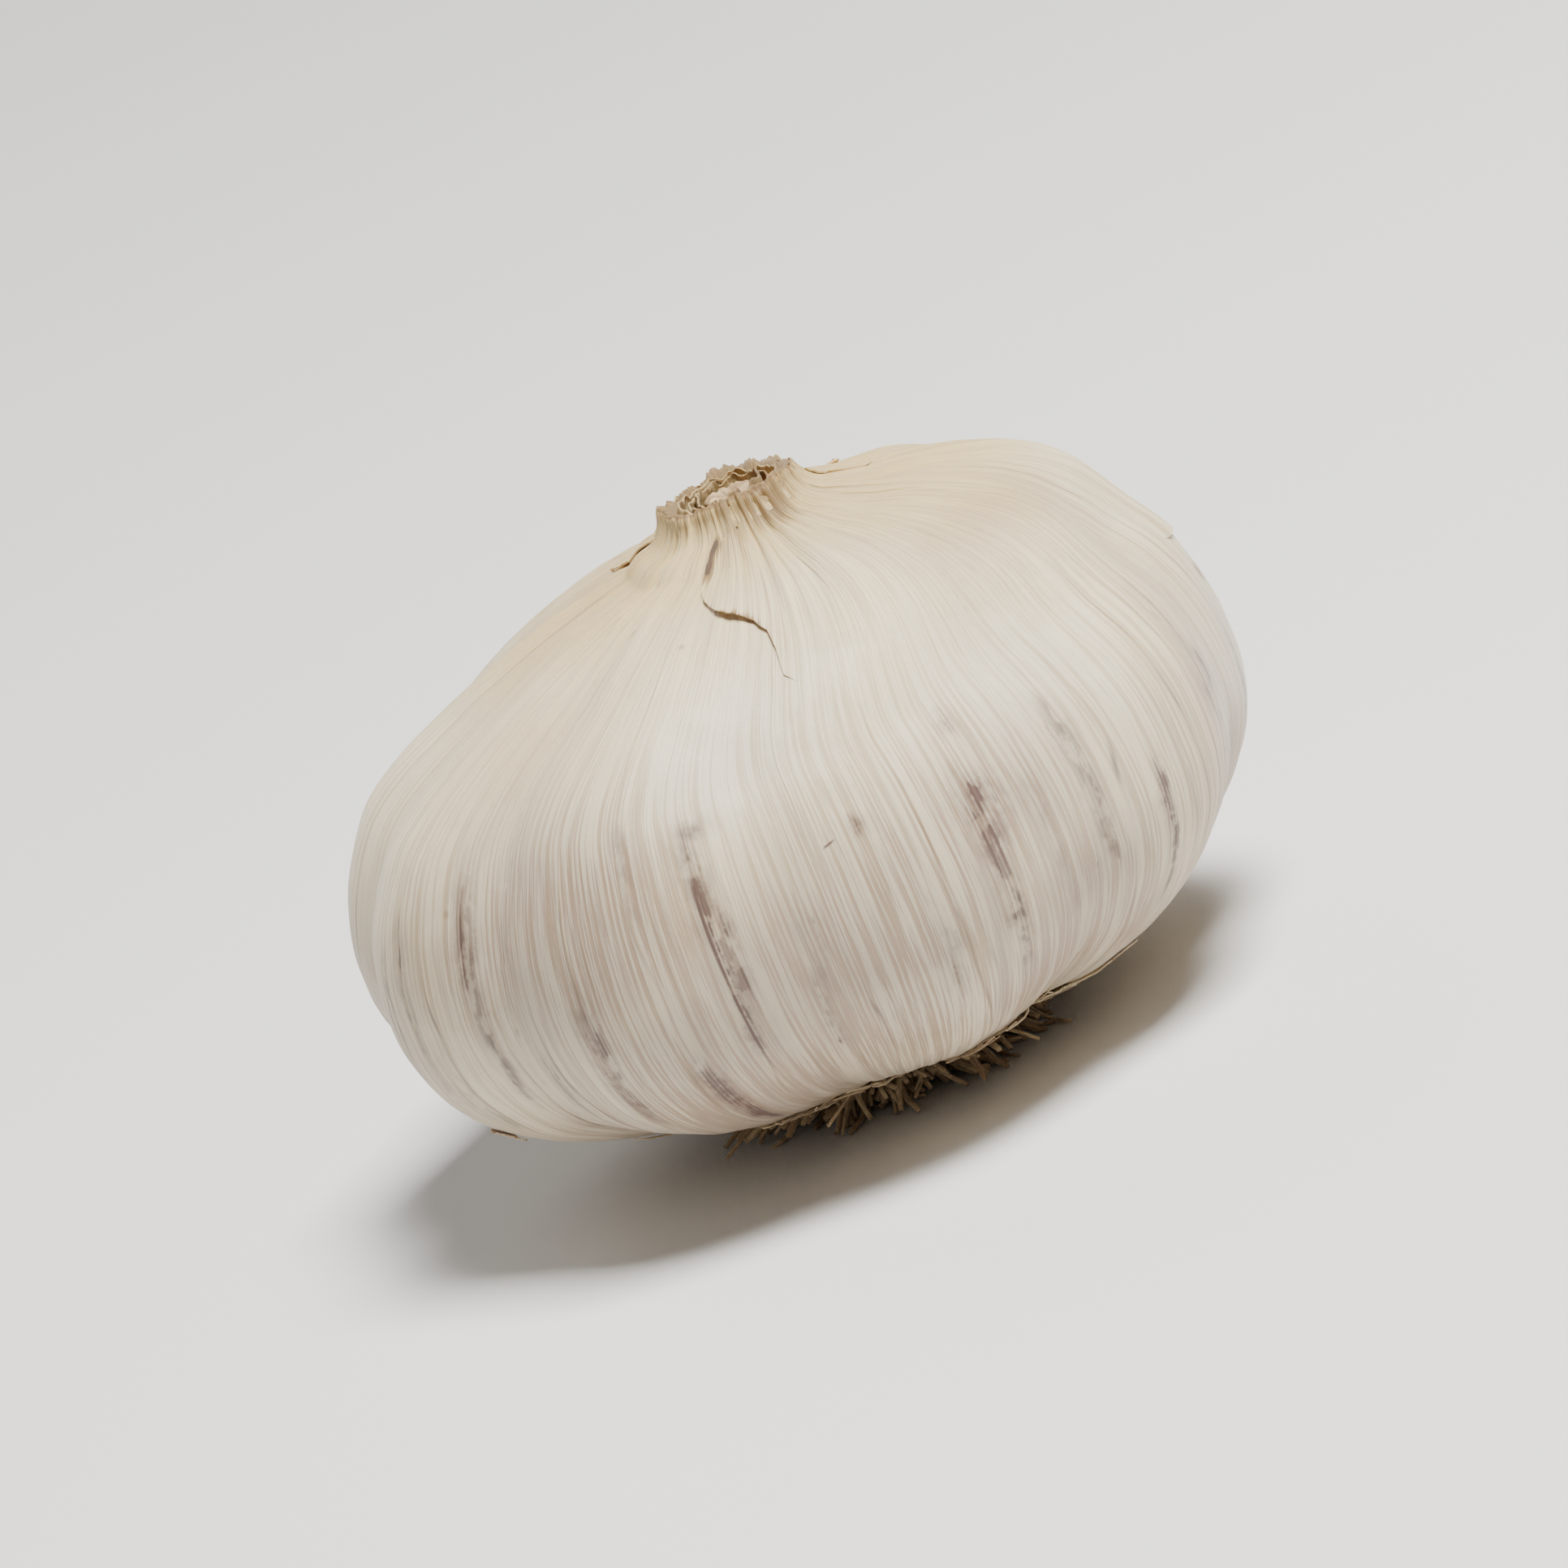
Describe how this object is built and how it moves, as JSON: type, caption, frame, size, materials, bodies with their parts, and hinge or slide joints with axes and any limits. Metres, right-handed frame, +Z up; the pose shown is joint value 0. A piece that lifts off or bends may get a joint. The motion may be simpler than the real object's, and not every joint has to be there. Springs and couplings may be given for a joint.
{
  "type": "garlic bulb",
  "caption": "Whole garlic bulb in papery skin with clove ribs and a short cut neck, standing on its dry root plate.",
  "frame": {"origin": "middle of the root plate's flat underside, which is the face that the bulb rests on", "axes": "+Z up through the neck, -Y towards the side that shows the torn skin edge, +X to that side's right"},
  "size_m": [0.0576, 0.0553, 0.0388],
  "materials": {
    "skin": "satin",
    "roots": "matte"
  },
  "bodies": {
    "root": {"bulb": "skin", "root_plate": "roots"}
  },
  "joints": []
}
